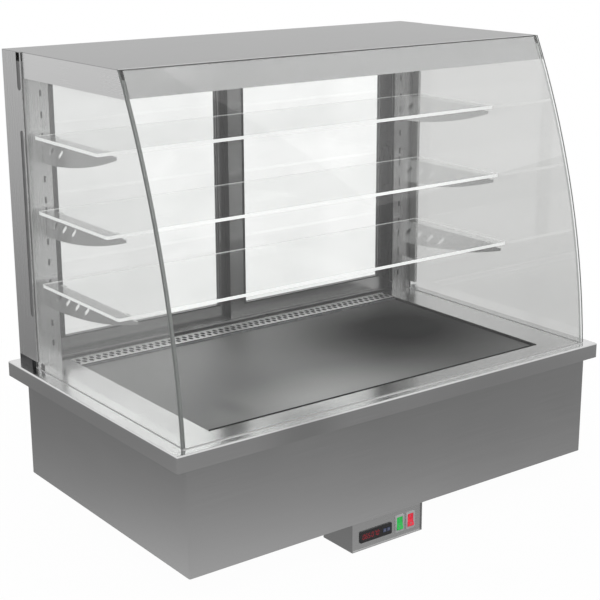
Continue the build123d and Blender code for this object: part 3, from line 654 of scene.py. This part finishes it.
def new_mesh(name, grids, looped=False, capped=True):
    """A mesh from grids of points, one ring to a row.

    Each four neighbours make a face, and each ring's last point joins its first. Looped, the last
    ring joins the first too, and otherwise capped, the first and the last ring are filled.
    """
    vertices, faces, first = [], [], 0
    for grid in grids:
        rings, around = grid.shape[:2]
        index = first + np.arange(rings * around).reshape(rings, around)
        index = np.concatenate([index, index[:, :1]], axis=1)
        if looped:
            index = np.concatenate([index, index[:1]])
        elif capped:
            faces += [index[0, :-1][::-1].tolist(), index[-1, :-1].tolist()]
        quads = np.stack([index[:-1, :-1], index[:-1, 1:], index[1:, 1:], index[1:, :-1]], axis=-1)
        vertices.append(grid.reshape(-1, 3))
        faces += quads.reshape(-1, 4).tolist()
        first += rings * around
    mesh = bpy.data.meshes.new(name)
    mesh.from_pydata(np.concatenate(vertices).tolist(), [], faces)
    if capped:
        outward = bmesh.new()
        outward.from_mesh(mesh)
        bmesh.ops.recalc_face_normals(outward, faces=outward.faces)
        outward.to_mesh(mesh)
        outward.free()
    piece = bpy.data.objects.new(name, mesh)
    scene.collection.objects.link(piece)
    return piece


def rounded(width, height, corner=6, around=20):
    """A rounded rectangle about the origin.

    Along each axis a point lies at half the size times the cosine or sine of its turn, with that
    value's size raised to two over the corner's power and its sign kept.
    """
    turn = np.linspace(0, 2 * pi, around, endpoint=False) + pi / around
    ways = np.stack([np.cos(turn), np.sin(turn)], axis=-1)
    return np.sign(ways) * np.abs(ways) ** (2 / corner) * (width / 2, height / 2)


def bar(start, end, outline, across, ease=0.0004, pinch=0.25):
    """An outline carried straight from start to end.

    Each point is the path's point plus the outline's measures along the direction across and
    along the one square to both. Over a length of ease each end draws in by the share pinch.
    """
    start, end, across = (np.asarray(v, float) for v in (start, end, across))
    length = np.linalg.norm(end - start)
    along = (end - start) / length
    up = np.cross(along, across)
    places = np.array([0, ease, length / 2, length - ease, length])
    sizes = np.array([1 - pinch, 1, 1, 1, 1 - pinch])
    section = outline[:, :1] * across + outline[:, 1:] * up
    return start + places[:, None, None] * along + sizes[:, None, None] * section


def upright(x, y, low, high, wide, deep):
    """A rounded strip that stands at a place between two heights."""
    return bar((x, y, low), (x, y, high), rounded(wide, deep), (1, 0, 0))


def lying(start, end, tall, deep):
    """A rounded strip that lies level from start to end."""
    return bar(start, end, rounded(tall, deep), (0, 0, 1))


def turned(section, centre, axis, around=28):
    """A section of (radius, height) pairs turned about an axis through a centre.

    A point lies at the centre, plus its height along the axis, plus its radius times the cosine
    and the sine of its turn along the two directions square to the axis.
    """
    axis = np.asarray(axis, float)
    side = np.cross(axis, OFF_AXIS)
    side /= np.linalg.norm(side)
    turn = np.linspace(0, 2 * pi, around, endpoint=False)[None, :, None]
    radius, height = (np.asarray(section)[:, i][:, None, None] for i in (0, 1))
    out = np.cos(turn) * side + np.sin(turn) * np.cross(axis, side)
    return np.asarray(centre) + height * axis + radius * out


def fit(name, grids, finish, body, looped=False):
    """A trim piece in its finish, carried by a body."""
    piece = new_mesh(name, grids, looped)
    piece.data.materials.append(finish)
    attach(piece, body)


def uprights_trim(rubber):
    """Black tape behind the posts' slots, painting the shade seen through them, and black brushes beside
    the doors.
    """
    y = JAMB_FRONT - SLOT_SHADE_GAP - SLOT_SHADE_THICKNESS / 2
    x, *brush = JAMB_BRUSH
    for side, way in (("left", -1), ("right", 1)):
        bands = [
            upright(way * (low + high) / 2, y, *SLOT_SHADE_RISE, high - low, SLOT_SHADE_THICKNESS)
            for low, high in SLOT_SHADE_BANDS
        ]
        fit(f"slot_shade_tape_{side}", bands, rubber, "counter")
        fit(f"jamb_brush_{side}", [upright(way * x, *brush)], rubber, "counter")


def doors_trim(rubber):
    """Glazing gaskets round the doors' panes, and the brush that closes the gap between the doors."""
    foot, head = DOOR_FOOT - GASKET_LAP, DOOR_HEAD + GASKET_LAP
    for side, (low, high, front) in DOOR_PANES.items():
        y = front - GASKET_SINK
        wide = GASKET_WIDTH[side]
        edge = low - GASKET_LAP
        strips = [
            upright(edge + wide / 2, y, foot, head, wide, GASKET_THICKNESS),
            upright(high + GASKET_LAP / 2, y, foot, head, GASKET_NARROW, GASKET_THICKNESS),
        ]
        for z in (DOOR_FOOT - GASKET_LAP / 2, DOOR_HEAD + GASKET_LAP / 2):
            start, end = (edge + wide, y, z), (high + GASKET_OVERLAP, y, z)
            strips.append(lying(start, end, GASKET_NARROW, GASKET_THICKNESS))
        fit(f"pane_gasket_{side}", strips, rubber, f"door_{side}")
    fit("meeting_brush", [upright(*MEETING_BRUSH)], rubber, "door_right")


def deck_trim(rubber):
    """Black seals in the deck's front gap, thin ones at its ends, and the track's, also painting gap
    shadow.
    """
    start, end, tall, deep = END_SEAL_SHADE
    strips = [lying(*FRONT_SEAL_SHADE)]
    for way in (-1, 1):
        mirrored = np.array([way, 1, 1])
        strips.append(lying(start * mirrored, end * mirrored, tall, deep))
    fit("deck_seal_shade", strips, rubber, "counter")
    fit("track_seal_shade", [lying(*TRACK_SEAL_SHADE)], rubber, "counter")


def digit(left, strokes):
    """The strokes of a seven-stroke digit, each a bar pinched at its ends, leaning to the right."""
    outline = rounded(*STROKE_OUTLINE)
    bars = []
    for stroke in strokes:
        x0, z0, x1, z1 = STROKE_ENDS[stroke]
        z0, z1 = z0 * DIGIT_HEIGHT / 2, z1 * DIGIT_HEIGHT / 2
        start = np.array([left + x0 * DIGIT_WIDTH + z0 * DIGIT_LEAN, DIGIT_FACE, DIGIT_FOOT + z0])
        end = np.array([left + x1 * DIGIT_WIDTH + z1 * DIGIT_LEAN, DIGIT_FACE, DIGIT_FOOT + z1])
        inset = (end - start) * STROKE_INSET
        across = (0, 0, 1) if x0 != x1 else (1, 0, 0)
        bars.append(bar(start + inset, end - inset, outline, across, STROKE_TAPER, STROKE_PINCH))
    return bars


def rocker_half(x, way):
    """The middle of a rocker's upper half (way 1) or lower half (way -1), and the way up along it."""
    tilt, slope = radians(ROCKER_TILT), radians(ROCKER_SLOPE)
    turn = np.array([[1, 0, 0], [0, cos(tilt), -sin(tilt)], [0, sin(tilt), cos(tilt)]])
    face = ROCKER_FACE + ROCKER_MARK * tan(slope) + MARK_LIFT
    middle = np.array([0, -face, way * ROCKER_MARK])
    up = np.array([0, -way * sin(slope), cos(slope)])
    return turn @ middle + (x, *ROCKER_PIVOT), turn @ up


def controls_trim():
    """The controller's digits and key marks, and the switches' on and off marks."""
    lit = glowing("red_digit", DIGIT_RED, 0.35)
    pale_ink = printed("pale_ink", PALE_INK)
    for row, (left, figures) in enumerate(DIGIT_ROWS, 1):
        bars = []
        for place, figure in enumerate(figures):
            bars += digit(left + place * DIGIT_STEP, DIGIT_STROKES[figure])
        fit(f"figures_{row}", bars, lit, "counter")
    for body, x, way in KEY_ARROWS:
        back, front = ((x, y, ARROW_HEIGHT) for y in ARROW_FILM)
        mark = bar(back, front, np.array(ARROW) * way, (1, 0, 0), ARROW_TAPER)
        fit(f"{body}_mark", [mark], pale_ink, body)
    for body, x in ROCKERS:
        middle, up = rocker_half(x, 1)
        reach = ON_MARK_REACH * up
        outline = rounded(*ON_MARK_OUTLINE)
        stroke = bar(middle - reach, middle + reach, outline, (1, 0, 0), ON_MARK_TAPER)
        fit(f"{body}_on_mark", [stroke], pale_ink, body)
        middle, up = rocker_half(x, -1)
        section = rounded(*OFF_MARK_OUTLINE, corner=4, around=12) + (OFF_MARK_RADIUS, 0)
        ring = turned(section, middle, np.cross((1, 0, 0), up))
        fit(f"{body}_off_mark", [ring], pale_ink, body, looped=True)


def fasteners():
    """Domed screws with a round socket, turned from one outline, on the service cover."""
    bright = brushed_steel("screw_steel", "level", BRIGHT, 0.3)
    heads = [turned(SCREW_OUTLINE, (x, y, COVER_HEIGHT), (0, 0, -1)) for x, y in COVER_SCREWS]
    fit("cover_screws", heads, bright, "counter")


def lamp_trim():
    """Metal collars round the lamp's ends, turned from a closed outline about the lamp's own line."""
    lamp_low, lamp_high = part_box("lamp_tube")
    y, z = ((lamp_low[i] + lamp_high[i]) / 2 for i in (1, 2))
    section = rounded(COLLAR_WALL, COLLAR_LENGTH, around=16) + (COLLAR_RADIUS, 0)
    collars = [turned(section, (way * COLLAR_PLACE, y, z), (1, 0, 0)) for way in (-1, 1)]
    fit("lamp_collars", collars, galvanised("collar_zinc"), "counter", looped=True)


def studio():
    """A white room.

    It is white to the eye and through glass, casts an even light on everything, and to steel it
    is a room whose brightness follows the height above the horizon.
    """
    world = bpy.data.worlds.new("studio")
    scene.world = world
    world.use_nodes = True
    tree = world.node_tree
    tree.nodes.clear()
    new = tree.nodes.new
    place = new("ShaderNodeTexCoord")
    axes = new("ShaderNodeSeparateXYZ")
    height = new("ShaderNodeMapRange")
    height.inputs["From Min"].default_value = -1
    heights = new("ShaderNodeValToRGB")
    ramp = heights.color_ramp
    ramp.interpolation = "EASE"
    while len(ramp.elements) < len(MIRRORED_ROOM):
        ramp.elements.new(0.5)
    for stop, (angle, shade) in zip(ramp.elements, MIRRORED_ROOM):
        stop.position = (sin(radians(angle)) + 1) / 2
        stop.color = (*grey(shade), 1)
    room = new("ShaderNodeBackground")
    white = new("ShaderNodeBackground")
    white.inputs["Color"].default_value = (1, 1, 1, 1)
    soft = new("ShaderNodeBackground")
    soft.inputs["Strength"].default_value = ROOM_LIGHT
    path = new("ShaderNodeLightPath")
    seen = new("ShaderNodeMath")
    seen.operation = "MAXIMUM"
    mirrored = new("ShaderNodeMath")
    mirrored.operation = "GREATER_THAN"
    mirrored.inputs[1].default_value = 0.5
    glossy_mix = new("ShaderNodeMixShader")
    seen_mix = new("ShaderNodeMixShader")
    output = new("ShaderNodeOutputWorld")
    for source, target in (
        (place.outputs["Generated"], axes.inputs["Vector"]),
        (axes.outputs["Z"], height.inputs["Value"]),
        (height.outputs["Result"], heights.inputs["Fac"]),
        (heights.outputs["Color"], room.inputs["Color"]),
        (path.outputs["Is Camera Ray"], seen.inputs[0]),
        (path.outputs["Is Transmission Ray"], seen.inputs[1]),
        (path.outputs["Glossy Depth"], mirrored.inputs[0]),
        (seen.outputs["Value"], seen_mix.inputs["Fac"]),
        (soft.outputs["Background"], seen_mix.inputs[1]),
        (white.outputs["Background"], seen_mix.inputs[2]),
        (mirrored.outputs["Value"], glossy_mix.inputs["Fac"]),
        (seen_mix.outputs["Shader"], glossy_mix.inputs[1]),
        (room.outputs["Background"], glossy_mix.inputs[2]),
        (glossy_mix.outputs["Shader"], output.inputs["Surface"]),
    ):
        tree.links.new(source, target)


def soft_box(name, place, aim, size, power):
    """A square area lamp at a place, facing a point."""
    lamp = bpy.data.lights.new(name, "AREA")
    lamp.size = size
    lamp.energy = power
    holder = bpy.data.objects.new(name, lamp)
    holder.visible_glossy = False
    scene.collection.objects.link(holder)
    away = np.array(place, float) - np.array(aim, float)
    side = np.cross((0, 0, 1), away)
    side /= np.linalg.norm(side)
    away /= np.linalg.norm(away)
    up = np.cross(away, side)
    turn = Matrix([[*row, 0] for row in np.array([side, up, away]).T] + [[0, 0, 0, 1]])
    holder.matrix_world = Matrix.Translation(place) @ turn


def floor(across=96, rings=24):
    """A wide disc of pale floor: nearly white to the eye, with the counter's soft shadow.

    A point lies at its ring's radius times the cosine and sine of its turn, and the radii grow
    with the square of an even step, so that the rings are closest under the counter.
    """
    angle = np.linspace(0, 2 * pi, across, endpoint=False)
    radius = np.linspace(0.02, 1, rings) ** 2 * FLOOR_REACH
    points = np.stack([
        np.outer(radius, np.cos(angle)), np.outer(radius, np.sin(angle)),
        np.full((rings, across), cad_low.z - FLOOR_DROP),
    ], axis=-1)
    disc = new_mesh("floor", [points], capped=False)
    pale = Finish("pale_floor", Roughness=0.9)
    pale.tone(pale.noise((30, 30, 30), detail=3), grey(0.80), grey(0.84))
    path = pale.add("LightPath")
    seen = pale.math("MAXIMUM", path.outputs["Is Camera Ray"], path.outputs["Is Transmission Ray"])
    far = pale.length(pale.add("TexCoord").outputs["Object"])
    whiteness = pale.between(far, FLOOR_WHITE, 1, *FLOOR_FADE)
    white = pale.add("Emission", Strength=1).outputs["Emission"]
    shown = pale.mix(pale.math("MULTIPLY", seen, whiteness), pale.shader.outputs["BSDF"], white)
    mirrored = pale.math("GREATER_THAN", path.outputs["Glossy Depth"], 0.5)
    unseen = pale.add("BsdfTransparent").outputs["BSDF"]
    pale.link(pale.mix(mirrored, shown, unseen), pale.output.inputs["Surface"])
    disc.data.materials.append(pale.material)


def take_photograph():
    """The camera at the photograph's angle."""
    lens = bpy.data.cameras.new("camera")
    lens.lens = CAMERA_LENS
    lens.sensor_width = CAMERA_SENSOR
    lens.clip_end = CAMERA_REACH
    holder = bpy.data.objects.new("camera", lens)
    scene.collection.objects.link(holder)
    holder.matrix_world = (
        Matrix.Translation(CAMERA_PLACE)
        @ Matrix.Rotation(radians(-CAMERA_YAW), 4, "Z")
        @ Matrix.Rotation(radians(90 - CAMERA_PITCH), 4, "X")
        @ Matrix.Rotation(radians(CAMERA_ROLL), 4, "Z")
    )
    scene.camera = holder


dress_steel()
dress_works()
dress_glass()

black_rubber = moulded("black_rubber", BLACK_RUBBER, 0.6, grain=500, shine=0.1)
uprights_trim(black_rubber)
doors_trim(black_rubber)
deck_trim(black_rubber)
controls_trim()
fasteners()
lamp_trim()

studio()
floor()
for lamp_box in LAMPS:
    soft_box(*lamp_box)
take_photograph()
scene.view_settings.view_transform = "Standard"
scene.cycles.max_bounces = 32
scene.cycles.glossy_bounces = 24
scene.cycles.transmission_bounces = 24
scene.cycles.transparent_max_bounces = 16
